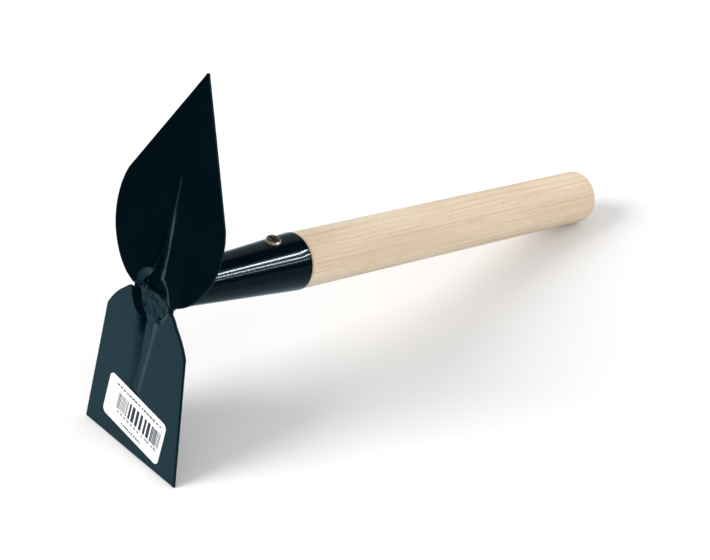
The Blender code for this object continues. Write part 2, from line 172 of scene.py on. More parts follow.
def paintMaterial(name, look, axes):
    constants = {"Specular IOR Level": look["specular"], "Specular Tint": look["glint"], "IOR": 1.5}
    made, tree, shader, spot = startMaterial(name, constants, axes)
    if "stretch" in look:
        spot = stretched(tree, spot, look["stretch"])
    values = {key: look[key] for key in skin["given"]}
    coat = addNode(tree, "Group", {"Vector": spot, **values}, node_tree=skinGroup).outputs
    tone = mixed(tree, coat["Cloud"], look["dark"], look["light"])
    dusty = times(tree, coat["Dust"], look["dustFade"])
    color = mixed(tree, dusty, tone, look["dust"])
    gloss = ramp(tree, coat["Cloud"], 0, 1, *look["roughness"], kind="LINEAR")
    dull = mathNode(tree, "MULTIPLY_ADD", coat["Dust"], look["dustDull"], gloss, clamp=True)
    if look["rimDull"]:
        turned = addNode(tree, "TexCoord").outputs["Normal"]
        facing = vectorNode(tree, "DOT_PRODUCT", turned, axes.to_3x3() @ Vector((0, 0, 1)))
        squarely = mathNode(tree, "ABSOLUTE", facing)
        cut = ramp(tree, squarely, *look["rimFacing"], look["rimDull"], 0.0)
        dull = mathNode(tree, "ADD", dull, cut, clamp=True)
    dressShader(tree, shader, color, dull, look["bump"], coat["Height"])
    return made


# Meshes

# An object of its own, from a mesh that is laid out in axes.
def newObject(name, bm, axes=Matrix()):
    bmesh.ops.recalc_face_normals(bm, faces=bm.faces[:])
    bm.transform(axes)
    mesh = bpy.data.meshes.new(name)
    bm.to_mesh(mesh)
    bm.free()
    made = bpy.data.objects.new(name, mesh)
    bpy.context.scene.collection.objects.link(made)
    return made


# Makes a piece with its place in its mesh, and lets it stand for its solid.
def finishMesh(name, bm, material, node, axes, sharp=radians(50)):
    piece = newObject(name, bm, axes)
    piece.data.shade_smooth()
    piece.data.set_sharp_from_angle(angle=sharp)
    piece.data.materials.append(material)
    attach(piece, "root")
    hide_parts(node)
    return piece


def smoothStep(share):
    share = min(max(share, 0.0), 1.0)
    return share * share * (3 - 2 * share)


# The larger of two depths, with the corner where they cross rounded off.
def blendUp(first, second, width):
    share = max(width - abs(first - second), 0) / width if width else 0
    return max(first, second) + share * share * width / 4


# Rows of lengths that are written in millimetres.
def mm(*rows):
    return [tuple(value / 1000 for value in row) for row in rows]


# Reads a list of (position, height) pairs at a value, in straight lines.
def along(stops, value):
    for (x0, y0), (x1, y1) in zip(stops, stops[1:]):
        if value <= x1:
            return y0 + (y1 - y0) * (value - x0) / (x1 - x0)
    return stops[-1][1]


# The same, through a smooth curve.
def eased(stops, value):
    i = 0
    while i < len(stops) - 2 and value > stops[i + 1][0]:
        i += 1
    (x0, y0), (x1, y1) = stops[i], stops[i + 1]
    before, after = stops[max(i - 1, 0)], stops[min(i + 2, len(stops) - 1)]
    run = x1 - x0
    share = min(max((value - x0) / run, 0), 1)
    lead = (y1 - before[1]) / (x1 - before[0]) * run
    tail = (after[1] - y0) / (after[0] - x0) * run
    s2, s3 = share * share, share ** 3
    return ((2 * s3 - 3 * s2 + 1) * y0 + (s3 - 2 * s2 + share) * lead
            + (3 * s2 - 2 * s3) * y1 + (s3 - s2) * tail)


# How far in and how far down a rounded edge lies, at a step that counts from the edge.
def edgeRound(radius, step, steps):
    turn = pi / 2 * step / steps
    return radius * (1 - cos(turn)), radius * (1 - sin(turn))


# Grids of (rows, columns, surface to lie on), bridged round the rim into one closed body.
def shellFromGrids(*grids):
    bm = bmesh.new()
    rims = []
    for countX, countY, surface in grids:
        made = bmesh.ops.create_grid(bm, x_segments=countX, y_segments=countY, size=1)
        points = made["verts"]
        faces = {face for point in points for face in point.link_faces}
        rims += [edge for edge in {e for f in faces for e in f.edges} if len(edge.link_faces) == 1]
        for point in points:
            point.co = surface(
                round((point.co.x + 1) / 2 * countX), round((point.co.y + 1) / 2 * countY)
            )
    bmesh.ops.bridge_loops(bm, edges=rims)
    return bm


# Blades

sheet = {
    "thickness": 0.0015,
    "rim": 0.00038,          # rounding of the cut edges
    "rimSteps": 3,
    "fullRim": 0.0020,       # a smaller half width has a smaller rounding
    "wave": 0.00007,         # how far the flats stray from flat
    "waveSize": 26.0,
    "waveReach": 0.030,      # the stray grows over this distance from the waist
}
dish = {
    "radius": 0.0149,
    "depth": 0.0034,
    "soften": 0.0003,        # rounding at the foot of its wall
    "blend": 0.0002,         # softens the step from the dish to the groove
    "blendEnds": (0.015, 0.023),     # and fades out between these distances from the waist
    "lipRound": 0.0007,
    "growReach": 0.0090,
    "rightFrom": 0.0010,     # the wall is left-hand above this y
    "rightReach": 0.0050,    # and turns right-hand over this width
    "shelfSlope": 0.43,      # the right-hand wall starts with a shallow shelf
    "shelfLead": 0.0010,     # that rounds over from the flat
    "shelfDrop": 1.6,        # and then falls at this slope
    "shelfSoften": 0.0002,
}
# The wall that both blades share at the waist. Within the reach, each blade's own takes over.
waistWall = {"wallRun": 0.0038, "curl": 0.4, "shelfRun": 0.0028, "reach": 0.0040}
# In both blades, the shifts say how far aside each corner at the waist lies and where that ends,
# rightGrow how much wider the dish is to the right at the waist and further out, wallRun how far the
# left-hand wall runs from lip to foot, and curl is 0 for a straight wall and 1 for one that starts
# flat and steepens. The groove's lists hold (distance from the waist, value), the stops (row, distance).
hoe = {
    "angle": radians(89.8),
    "pressed": 1,
    "length": 0.0888,
    "edgeWidth": 0.0765,
    "shoulderWidth": 0.0645,
    "shoulderDrop": 0.0190,
    "shoulderRadius": 0.0425,
    "leftShift": (0.0009, 0.0032),
    "rightShift": (-0.0022, 0.0060),
    "rightGrow": (0.08, 0.08),
    "wallRun": 0.0056,
    "curl": 0.30,
    "shelfRun": 0.0023,
    "grooveDepth": mm((0, 1.9), (12, 1.7), (17, 1.3), (22, 1.12), (28, 1.02), (34, 0.92), (40, 0.78),
                      (46, 0.64), (52, 0.52), (57, 0.36), (61, 0.12), (65, 0)),
    "leftFoot": mm((0, 2.2), (17, 1.9), (22, 1.7), (28, 1.9), (34, 1.9), (40, 2.3), (46, 3), (50, 3.8),
                   (65, 4.2)),
    "leftRun": mm((0, 8.4), (18, 7.8), (23, 6.7), (29, 6.2), (34, 6), (40, 5.3), (46, 4.8), (65, 4)),
    "leftCurl": 1.0,
    "rightLip": mm((0, -10), (14.8, -9.9), (18, -9), (24, -8), (30, -6.8), (36.5, -5.7), (43, -4.6),
                   (49, -3.2), (55, -2.4), (65, -1.2)),
    "rightSlope": [(0, 0.28), (0.018, 0.215), (0.030, 0.230), (0.040, 0.265), (0.065, 0.31)],
    "rightShelf": mm((0, 6), (14, 5.5), (20, 4), (28, 3.6), (65, 3.4)),
    "footDeeper": (0.16, 0.0060),    # the groove is deepest at its left foot, and rises over this width
    "stops": [(0, 0.0012), (3, 0.00158), (52, 0.0170), (56, 0.0190), (102, 0.0650),
              (122, 0.0878), (123, 0.08842), (126, 0.0888)],
}
heart = {
    "angle": -radians(82.1),
    "pressed": -1,
    "length": 0.1165,
    "width": 0.0822,
    "belly": 0.0380,
    "flankStart": 0.0525,
    "lobeOffset": 0.0039,
    "tipWidth": 0.0006,
    "leftShift": (-0.0012, 0.0026),
    "rightShift": (-0.0022, 0.0016),
    "rightGrow": (0.08, 0.0),
    "wallRun": 0.0044,
    "curl": 0.30,
    "shelfRun": 0.0040,
    "grooveDepth": mm((0, 3.4), (12, 3.4), (16, 3.2), (20, 2.85), (24, 2.5), (28, 2.15), (33, 1.75),
                      (38, 1.3), (43, 1), (48, 0.8), (53, 0.62), (58, 0.5), (63, 0.38), (68, 0.2),
                      (75, 0)),
    "leftFoot": mm((0, 5), (10.5, 4.2), (14.6, 2.8), (18, 1.9), (24, 1.6), (30, 1.4), (40, 1.2),
                   (50, 0.6), (75, 0.2)),
    "leftRun": mm((0, 1), (10.5, 1), (14.6, 1.3), (18, 1.8), (26, 2.8), (40, 3.4), (75, 3)),
    "leftCurl": 0.8,
    "rightLip": mm((0, -7.5), (16, -7.3), (19, -6.8), (23, -6.7), (27, -6.4), (32, -5.8), (38, -5.3),
                   (42, -4.95), (47, -4.7), (53, -4.8), (58, -4.5), (63, -4), (75, -2.8)),
    "rightSlope": [(0, 0.37), (0.020, 0.36), (0.030, 0.34), (0.038, 0.29), (0.043, 0.21),
                   (0.047, 0.15), (0.053, 0.10), (0.063, 0.09), (0.075, 0.07)],
    "rightShelf": mm((0, 5), (24, 4.7), (32, 3.8), (40, 3.4), (75, 3.4)),
    "footDeeper": (0.0, 0.0060),
    "stops": [(0, 0.0012), (3, 0.00158), (52, 0.0170), (92, 0.0525), (116, 0.0750),
              (138, 0.1155), (139, 0.11612), (142, 0.1165)],
}
# Columns of the blades' grids, outwards from the middle: close over the pressing, then wide apart,
# and the last one near the rim to hold it flat
columns = {
    "inner": 50,
    "innerReach": 0.0172,
    "innerShare": 0.8,
    "outer": 8,
    "support": 0.0004,
    "supportShare": 0.2,
}


def wallShare(share, curl):
    share = min(max(share, 0.0), 1.0)
    return share * (1 - curl) + share * share * curl


# A right-hand wall, seen from its lip: rounds over, runs down a shallow shelf, then falls.
def shelfDepth(inward, slope, run, full):
    lead = dish["shelfLead"]
    inward = max(inward, 0.0)
    shelf = slope * (inward * inward / (2 * lead) if inward < lead else inward - lead / 2)
    fall = slope * (run - lead / 2) + dish["shelfDrop"] * (inward - run)
    return -blendUp(-blendUp(shelf, fall, dish["shelfSoften"]), -full, min(dish["soften"], full))


# Depth of the sheet's middle below the flat, in the dish.
def dishDepth(blade, u, y):
    own = smoothStep(u / waistWall["reach"])
    run, curl, shelfRun = (
        blade[key] * own + waistWall[key] * (1 - own) for key in ("wallRun", "curl", "shelfRun")
    )
    rightward = smoothStep((dish["rightFrom"] - y) / dish["rightReach"])
    atWaist, beyond = blade["rightGrow"]
    grown = atWaist + (beyond - atWaist) * smoothStep(u / dish["growReach"])
    inward = dish["radius"] - hypot(u, y * (1 - grown * rightward))
    if inward <= 0:
        return 0.0
    rounding = dish["lipRound"]
    straight = wallShare((inward - rounding / 2) / (run - rounding / 2), curl)
    lip = wallShare(inward / run, 1) * smoothStep(1 - inward / (2 * rounding))
    left = -blendUp(-dish["depth"] * max(straight, lip), -dish["depth"], dish["soften"])
    right = shelfDepth(inward, dish["shelfSlope"], shelfRun, dish["depth"])
    return left + (right - left) * rightward


def grooveDepth(blade, u, y):
    full = max(eased(blade["grooveDepth"], u), 0) if u < blade["grooveDepth"][-1][0] else 0
    if full <= 0:
        return 0.0
    foot, run = eased(blade["leftFoot"], u), eased(blade["leftRun"], u)
    more, reach = blade["footDeeper"]
    deep = full * (1 + more)
    left = wallShare((foot + run - y) / run, blade["leftCurl"]) * deep
    right = shelfDepth(y - eased(blade["rightLip"], u), eased(blade["rightSlope"], u),
                       eased(blade["rightShelf"], u), deep)
    return min(left, right, deep - more * full * smoothStep((foot - y) / reach))


def pressedDepth(blade, u, y):
    first, last = dish["blendEnds"]
    width = dish["blend"] * (1 - smoothStep((u - first) / (last - first)))
    return blendUp(dishDepth(blade, u, y), grooveDepth(blade, u, y), width)


def hoeHalfWidth(u):
    drop, shoulder = hoe["shoulderDrop"], hoe["shoulderWidth"]
    if u >= drop:
        share = (u - drop) / (hoe["length"] - drop)
        return (shoulder + share * (hoe["edgeWidth"] - shoulder)) / 2
    first = Vector((tool["trim"], tool["waistWidth"] / 2))
    last = Vector((drop, shoulder / 2))
    chord = last - first
    inward = Vector((chord.y, -chord.x)).normalized()
    radius = hoe["shoulderRadius"]
    centre = (first + last) / 2 + inward * sqrt(radius ** 2 - chord.length_squared / 4)
    return centre.y + sqrt(radius ** 2 - (u - centre.x) ** 2)


def heartHalfWidth(u):
    lobeWidth = heart["width"] / 2 - heart["lobeOffset"]
    waistShare = (tool["waistWidth"] / 2 - heart["lobeOffset"]) / lobeWidth
    lobeLength = (heart["belly"] - tool["trim"]) / sqrt(1 - waistShare ** 2)

    def lobe(place):
        return heart["lobeOffset"] + lobeWidth * sqrt(1 - ((place - heart["belly"]) / lobeLength) ** 2)

    flank = heart["flankStart"]
    if u <= flank:
        return lobe(u)
    share = (u - flank) / (heart["length"] - flank)
    return lobe(flank) * (1 - share) + share * heart["tipWidth"] / 2


# A point that stands lift in front of the sheet's middle; front is away from the pressing.
def sheetPoint(blade, u, y, lift):
    step = 0.00004
    slopeU = (pressedDepth(blade, u + step, y) - pressedDepth(blade, u - step, y)) / (2 * step)
    slopeY = (pressedDepth(blade, u, y + step) - pressedDepth(blade, u, y - step)) / (2 * step)
    front = Vector((slopeU, slopeY, -1)).normalized()
    size = sheet["waveSize"]
    stray = sheet["wave"] * noise.noise(Vector((u * size, y * size, blade["angle"])))
    middle = Vector((u, y, pressedDepth(blade, u, y) + stray * smoothStep(u / sheet["waveReach"])))
    spot = middle + lift * front
    spot.z *= blade["pressed"]
    return spot


# Returns the surface that one face of a blade's grid is laid on.
def bladeGrid(blade, halfWidth, side):
    rows = blade["stops"][-1][0]
    steps = sheet["rimSteps"]
    half = columns["inner"] + columns["outer"] + 1 + steps

    def surface(i, j):
        u = along(blade["stops"], i)
        drop = 0.0
        nearEnd = min(i, rows - i)
        if nearEnd < steps:
            back, drop = edgeRound(sheet["rim"], nearEnd, steps)
            u = tool["trim"] + back if i < rows / 2 else blade["length"] - back
        wide = halfWidth(u)
        place = abs(j - half)
        inner = min(columns["innerReach"], columns["innerShare"] * wide)
        rim = sheet["rim"] * min(1.0, wide / sheet["fullRim"])
        flatEnd = wide - rim
        support = min(columns["support"], columns["supportShare"] * (flatEnd - inner))
        if place <= columns["inner"]:
            y = inner * place / columns["inner"]
        elif place <= columns["inner"] + columns["outer"]:
            y = inner + (flatEnd - support - inner) * (place - columns["inner"]) / columns["outer"]
        elif place <= half - steps:
            y = flatEnd
        else:
            back, sideDrop = edgeRound(sheet["rim"], half - place, steps)
            y = wide - back * rim / sheet["rim"]
            drop = max(drop, sideDrop)
        y = y if j >= half else -y
        aside, reach = blade["leftShift"] if y > 0 else blade["rightShift"]
        y += aside * (1 - smoothStep((u - tool["trim"]) / reach))
        return sheetPoint(blade, u, y, side * (sheet["thickness"] / 2 - drop))

    return rows, 2 * half, surface


def makeBlade(name, blade, halfWidth, material, node, axes):
    bm = shellFromGrids(bladeGrid(blade, halfWidth, 1), bladeGrid(blade, halfWidth, -1))
    piece = finishMesh(name, bm, material, node, axes)
    print(name, len(piece.data.polygons), "faces")


bladePaint = {
    "dark": (0.0002, 0.0034, 0.0057, 1),
    "light": (0.0004, 0.0046, 0.0070, 1),
    "dust": (0.10, 0.12, 0.13, 1),
    "glint": (0.26, 0.78, 1.0, 1),
    "specular": 0.5,
    "roughness": (0.11, 0.18),
    "peelSize": 620.0,
    "waveSize": 110.0,
    "waveShare": 0.55,
    "dustSize": 300.0,
    "dustShare": 0.010,
    "dustFade": 0.22,
    "dustDull": 0.35,
    "rimDull": 0.50,         # how much rougher the cut edges are
    "rimFacing": (0.28, 0.48),       # they end between these shares of facing front or back
    "bump": (0.25, 0.0004),
}
hoeAxes = waistAxes @ Matrix.Rotation(hoe["angle"], 4, "Y")
heartAxes = waistAxes @ Matrix.Rotation(heart["angle"], 4, "Y")
makeBlade("hoeBladePressed", hoe, hoeHalfWidth,
          paintMaterial("hoePaint", bladePaint, hoeAxes), "hoe_blade", hoeAxes)
makeBlade("heartBladePressed", heart, heartHalfWidth,
          paintMaterial("heartPaint", bladePaint, heartAxes), "heart_blade", heartAxes)

# Weld between the blades

# A pad of weld metal fills the dish from the heart's foot down to the hoe's groove. It is laid out in
# the hoe's axes. Each row of edges holds (y, end on the heart's side, end on the hoe's side).
pad = {
    "edges": mm((-18, -1.3, 1.3), (-15, -1.6, 1.6), (-13.8, -2, 2.4), (-13, -2.6, 3.4),
                (-12, -3.4, 4.6), (-11, -4, 6.2), (-10, -4.3, 7.8), (-8, -4.5, 9.8), (-6, -4.3, 11.3),
                (-4.8, -4.1, 13.5), (-3.4, -3.9, 15.5), (-1, -3.7, 16.8), (2, -3.8, 16.8),
                (3.2, -3.9, 15.5), (3.9, -4, 12.2), (5.3, -4.2, 9.7), (7, -4.5, 7.3), (8.4, -4.5, 4.6),
                (9.2, -3.2, 2), (10, -1.8, 1.3), (13.9, -1.3, 1.3)),
    "plane": mm((-4, 1.4), (4, 1.18), (12.5, 0.9), (20, 0.8)),
    "rows": 150,
    "columns": 84,
    "endRows": 4,            # rows in which it thins out at either end
    "least": 0.0013,         # it reaches at least this far from the waist
    "dive": (0.0112, 0.0150),        # where it sinks into the hoe's groove
    "ragged": ((0.00112, 2.1), (0.00091, 7.7)),      # how far each edge strays, and a seed
    "raggedSize": 620.0,
    "lumps": ((0.00012, 330.0, 0.004), (0.00004, 1300.0, 0.002)),    # height, size, seed
    "edgeRough": 2.6,        # how much lumpier it is within this reach of an edge
    "edgeReach": 0.0030,
    "shoulders": (0.0010, 0.0007),   # rounding of its edges, first on the heart's side
    "endReach": 0.0016,
    "bead": 0.00035,         # stands proud of the sheet where it has no depth to fill
    "beadHalf": 0.0026,
    "beadSoften": 0.0012,
    "beadLeft": (0.0095, 0.0010),    # and fades out from this y over this width
    "cover": 0.00008,        # least cover over the sheet
    "sunk": 0.0003,          # how far below the sheet's front its edges end
    "gapSink": 0.6,          # how far its back fills the gap, of half a sheet
    "gapSoften": 0.0003,
}
heartFold = Matrix.Rotation(heart["angle"] - hoe["angle"], 4, "Y")


# The front or middle of the sheet, in the hoe's axes, on either side of the waist.
def foldedSheet(u, y, lift):
    trim = tool["trim"]
    if u > trim:
        return sheetPoint(hoe, u, y, lift)
    if u < -trim:
        return heartFold @ sheetPoint(heart, -u, y, lift)
    above = heartFold @ sheetPoint(heart, trim, y, lift)
    return above.lerp(sheetPoint(hoe, trim, y, lift), (u + trim) / (2 * trim))


def padSurface(front):
    rows, wide, least = pad["rows"], pad["columns"], pad["least"]
    low, high = ([(row[0], row[side]) for row in pad["edges"]] for side in (1, 2))
    half = sheet["thickness"] / 2
    diveStart, diveEnd = pad["dive"]

    def strayAt(y, which):
        stray, seed = pad["ragged"][which]
        return stray * noise.fractal(Vector((y * pad["raggedSize"], seed, 0)), 1, 2, 3)

    def surface(i, j):
        y = low[0][0] + (low[-1][0] - low[0][0]) * i / rows
        closing = smoothStep(i / pad["endRows"]) * smoothStep((rows - i) / pad["endRows"])
        first = min(along(low, y) + closing * strayAt(y, 0), -least)
        last = max(along(high, y) + closing * strayAt(y, 1), least)
        share = (1 - cos(pi * j / wide)) / 4 + j / wide / 2
        u = first + (last - first) * share
        if not front:
            gap = smoothStep((least - abs(u)) / pad["gapSoften"])
            return foldedSheet(u, y, -pad["gapSink"] * half * gap)
        spot = foldedSheet(u, y, half)
        floor = spot.z + pad["sunk"]
        fromEdge = min(u - first, last - u)
        beadEnd, beadFade = pad["beadLeft"]
        proud = pad["bead"] * smoothStep((pad["beadHalf"] - abs(u)) / pad["beadSoften"])
        proud *= smoothStep((beadEnd - y) / beadFade)
        depth = min(along(pad["plane"], u), spot.z - pad["cover"] - proud)
        dive = smoothStep((u - diveStart) / (diveEnd - diveStart))
        depth += (floor - depth) * dive
        rough = (1 + pad["edgeRough"] * smoothStep(1 - fromEdge / pad["edgeReach"])) * (1 - dive)
        for height, size, seed in pad["lumps"]:
            depth += rough * height * noise.noise(Vector((y, u, seed)) * size)
        shoulder = pad["shoulders"][0 if u < (first + last) / 2 else 1]
        fullness = min(min(fromEdge, pad["endReach"] * closing) / shoulder, 1)
        rounded = sqrt(max(1 - (1 - fullness) ** 2, 0))
        return Vector((u, y, floor * (1 - rounded) + depth * rounded))

    return rows, wide, surface


weldPaint = dict(
    bladePaint, rimDull=0, roughness=(0.13, 0.22), peelSize=1300.0, waveSize=420.0,
    bump=(0.22, 0.0004), dustShare=0.03, dustSize=500.0,
)
weldMaterial = paintMaterial("weldPaint", weldPaint, waistAxes)
finishMesh("weldPad", shellFromGrids(padSurface(True), padSurface(False)), weldMaterial,
           "seam_weld", hoeAxes)
print("seam weld laid")

# Socket

socket = {
    "start": 0.0080,         # narrow end, from the waist
    "mouth": 0.0919,
    "mouthRadius": 0.0155,
    "waistRadius": 0.0089,
    "wall": 0.0015,
    "seam": 0.0007,          # open seam along the underside
    "rim": 0.00045,
    "rimSteps": 3,
    "mouthRound": 0.0011,    # rounding of the mouth's outer edge
    "mouthSteps": 7,
    "rows": 94,
    "sides": 240,
    "outOfRound": 0.00010,
    "twist": 30,             # radians per metre, of where it is out of round
}


def socketRadius(x):
    slope = (socket["mouthRadius"] - socket["waistRadius"]) / socket["mouth"]
    return socket["waistRadius"] + slope * x


def socketSurface(side):
    rows, sides, steps, rimSteps = (socket[key] for key in ("rows", "sides", "mouthSteps", "rimSteps"))
    rounding = socket["mouthRound"] if side > 0 else socket["wall"] - socket["mouthRound"]

    def surface(i, j):
        x = socket["start"] + (socket["mouth"] - socket["start"]) * i / rows
        drop = 0.0
        if rows - i <= steps:
            back, drop = edgeRound(rounding, rows - i, steps)
            x = socket["mouth"] - back
        edge = min(j, sides - j)
        halfSeam = socket["seam"] / 2 / socketRadius(x)
        angle = halfSeam + (2 * pi - 2 * halfSeam) * j / sides
        if edge < rimSteps:
            back, sideDrop = edgeRound(socket["rim"], edge, rimSteps)
            lean = halfSeam + back / socketRadius(x)
            angle = lean if j < sides / 2 else 2 * pi - lean
            drop = max(drop, sideDrop)
        radius = socketRadius(x) + socket["outOfRound"] * sin(2 * angle + socket["twist"] * x)
        radius += -drop if side > 0 else drop - socket["wall"]
        return Vector((x, -radius * sin(angle), -radius * cos(angle)))

    return rows, sides, surface


# Takes a cutter out of a piece for good, and removes the cutter.
def drilled(piece, cutter):
    change = piece.modifiers.new("drilled", "BOOLEAN")
    change.operation = "DIFFERENCE"
    change.solver = "EXACT"
    change.object = cutter
    bpy.context.view_layer.update()
    graph = bpy.context.evaluated_depsgraph_get()
    made = bpy.data.meshes.new_from_object(piece.evaluated_get(graph))
    piece.modifiers.remove(change)
    old = piece.data
    piece.data = made
    bpy.data.meshes.remove(old)
    bpy.data.objects.remove(cutter, do_unlink=True)


# Spins a line of (x, radius) points about X. Ends on the axis close by themselves.
def turnedProfile(profile, sides):
    bm = bmesh.new()
    points = [bm.verts.new((x, 0, radius)) for x, radius in profile]
    edges = [bm.edges.new(pair) for pair in zip(points, points[1:])]
    bmesh.ops.spin(bm, geom=points + edges, cent=(0, 0, 0), axis=(1, 0, 0),
                   angle=2 * pi, steps=sides, use_merge=True)
    bmesh.ops.remove_doubles(bm, verts=bm.verts[:], dist=1e-6)
    return bm


# Points of a quarter or so of a circle, as (x, radius) pairs.
def arc(centreX, centreR, radius, first, last, steps):
    turns = [radians(first + (last - first) * i / steps) for i in range(steps + 1)]
    return [(centreX + radius * cos(t), centreR + radius * sin(t)) for t in turns]


socketPaint = dict(
    bladePaint, rimDull=0, dark=(0.0006, 0.0038, 0.0072, 1), light=(0.0010, 0.0045, 0.0082, 1),
    glint=(0.74, 0.89, 1.0, 1), specular=0.42,
    roughness=(0.09, 0.12), stretch=(0.12, 1.0, 1.0), peelSize=420.0, waveSize=160.0,
    waveShare=0.7, bump=(0.010, 0.0003),
)
socketPiece = finishMesh(
    "socketTube", shellFromGrids(socketSurface(1), socketSurface(-1)),
    paintMaterial("socketPaint", socketPaint, toolAxes), "socket", toolAxes,
)
print("socket rolled")

# Weld behind the dish, round the socket's narrow end

fillet = {
    "throat": 0.0017,
    "climb": 0.0046,
    "thickness": 0.0009,
    "behind": ((0.0065, 0.0009), (0.0030, 0.0004)),  # points past the socket's end: how far, how wide
    "overSocket": 0.00012,
    "steps": 10,
    "sides": 144,
    "lump": 0.00050,
    "lumpSize": (300, 4),    # along and round
    "ripple": 0.00022,
    "ripples": 34,
    "rippleTwist": 700,
    "calm": 0.0012,          # this near to its top it grows smooth
    "sink": 0.0002,          # how deep its foot lies in the sheet
}


def makeFillet(material):
    start, climb, steps = socket["start"], fillet["climb"], fillet["steps"]
    foot, top = socketRadius(start) + fillet["throat"], start + climb
    fall = foot - socketRadius(top) - fillet["overSocket"]
    turns = [pi / 2 * i / steps for i in range(1, steps + 1)]
    profile = [(start - back, foot + wider) for back, wider in fillet["behind"]] + [(start, foot)]
    profile += [(top - climb * cos(turn), foot - fall * sin(turn)) for turn in turns]
    bm = turnedProfile(profile, fillet["sides"])
    lengthwise, across = fillet["lumpSize"]
    for point in bm.verts:
        x, y, z = point.co
        angle, radius = atan2(y, z), hypot(y, z)
        spot = Vector((x * lengthwise, sin(angle) * across, cos(angle) * across))
        grow = fillet["lump"] * noise.noise(spot)
        grow += fillet["ripple"] * sin(fillet["ripples"] * angle + fillet["rippleTwist"] * x)
        stretch = (radius + smoothStep((top - x) / fillet["calm"]) * grow) / radius
        point.co = (x, y * stretch, z * stretch)
    depth = dish["depth"] + sheet["thickness"] / 2 - fillet["sink"]
    for angle, towards in ((hoe["angle"], -1), (-heart["angle"], 1)):
        behind = Vector((sin(angle), 0, -towards * cos(angle)))
        spot = Vector((0, 0, -tool["axisRise"])) + depth * behind
        bmesh.ops.bisect_plane(bm, geom=bm.verts[:] + bm.edges[:] + bm.faces[:], dist=1e-7,
                               plane_co=spot, plane_no=behind, clear_inner=True)
    bmesh.ops.recalc_face_normals(bm, faces=bm.faces[:])
    bmesh.ops.solidify(bm, geom=bm.faces[:], thickness=fillet["thickness"])
    finishMesh("weldFillet", bm, material, "socket_weld", toolAxes)


makeFillet(weldMaterial)
print("socket weld laid")

# Handle

handle = {
    "radius": 0.0150,
    "grip": 0.2228,
    "gap": 0.0002,           # between the shoulder and the socket's mouth
    "tenon": 0.0640,
    "tenonEdge": 0.0014,
    "fit": 0.0003,
    "shoulder": 0.0018,      # rounding by the socket, and of the far end
    "butt": 0.0031,
    "buttRings": (0.008, 0.004, 0),
    "sides": 128,
    "rows": 40,
    "outOfRound": 0.00006,
    "straySize": (22, 2),    # along and round
}


def makeHandle(material):
    mouth = socket["mouth"] + handle["gap"]
    butt = socket["mouth"] + handle["grip"]
    tenonEnd, edge = socket["mouth"] - handle["tenon"], handle["tenonEdge"]
    inside = socket["wall"] + handle["fit"]
    radius, shoulder, rounding = handle["radius"], handle["shoulder"], handle["butt"]
    profile = [
        (tenonEnd, 0),
        (tenonEnd, socketRadius(tenonEnd) - inside - edge),
        (tenonEnd + edge, socketRadius(tenonEnd + edge) - inside),
        (mouth, socketRadius(mouth) - inside),
    ]
    profile += arc(mouth + shoulder, radius - shoulder, shoulder, 180, 90, 5)
    gripStart, gripEnd, rows = mouth + shoulder, butt - rounding, handle["rows"]
    profile += [(gripStart + (gripEnd - gripStart) * i / rows, radius) for i in range(1, rows)]
    profile += arc(gripEnd, radius - rounding, rounding, 90, 0, 9)
    profile += [(butt, ring) for ring in handle["buttRings"]]
    bm = turnedProfile(profile, handle["sides"])
    lengthwise, across = handle["straySize"]
    for point in bm.verts:
        x, y, z = point.co
        if x > gripStart:
            angle = atan2(y, z)
            stray = noise.noise(Vector((x * lengthwise, across * sin(angle), across * cos(angle))))
            stretch = 1 + handle["outOfRound"] * stray / radius
            point.co = (x, y * stretch, z * stretch)
    return finishMesh("handleTurned", bm, material, "handle", toolAxes)


beech = {
    "pale": (0.86, 0.735, 0.565, 1),
    "warm": (0.775, 0.605, 0.435, 1),
    "late": (0.70, 0.52, 0.355, 1),  # late wood, the darker line of each ring
    "fleck": (0.56, 0.37, 0.22, 1),
    "pith": (0.0, 0.012, 0.071),     # centre of the tree, from the handle's axis
    "rings": 430.0,          # rings per metre
    "specular": 0.35,
    "roughness": (0.50, 0.66),
    "drift": 0.006,          # how far the rings stray
    "driftSize": (7, 34, 34),
    "broadSize": (9, 60, 60),        # clouds of the warm tone
    "broadRange": (0.32, 0.70),
    "streakSize": (11, 520, 520),
    "ringRange": (0.30, 0.75, 0.25, 0.90),   # the streaks fade the rings
    "fineRange": (0.47, 0.76, 0.0, 0.85),    # and show as fine lines of their own
    "lateFrom": 0.35,        # share of a ring before its late wood
    "fleckSize": (260, 1500, 1500),
    "fleckShare": 0.22,
    "fleckEdge": (0.18, 0.42),
    "fleckFade": 0.55,
    "bump": (0.25, 0.00012),
}


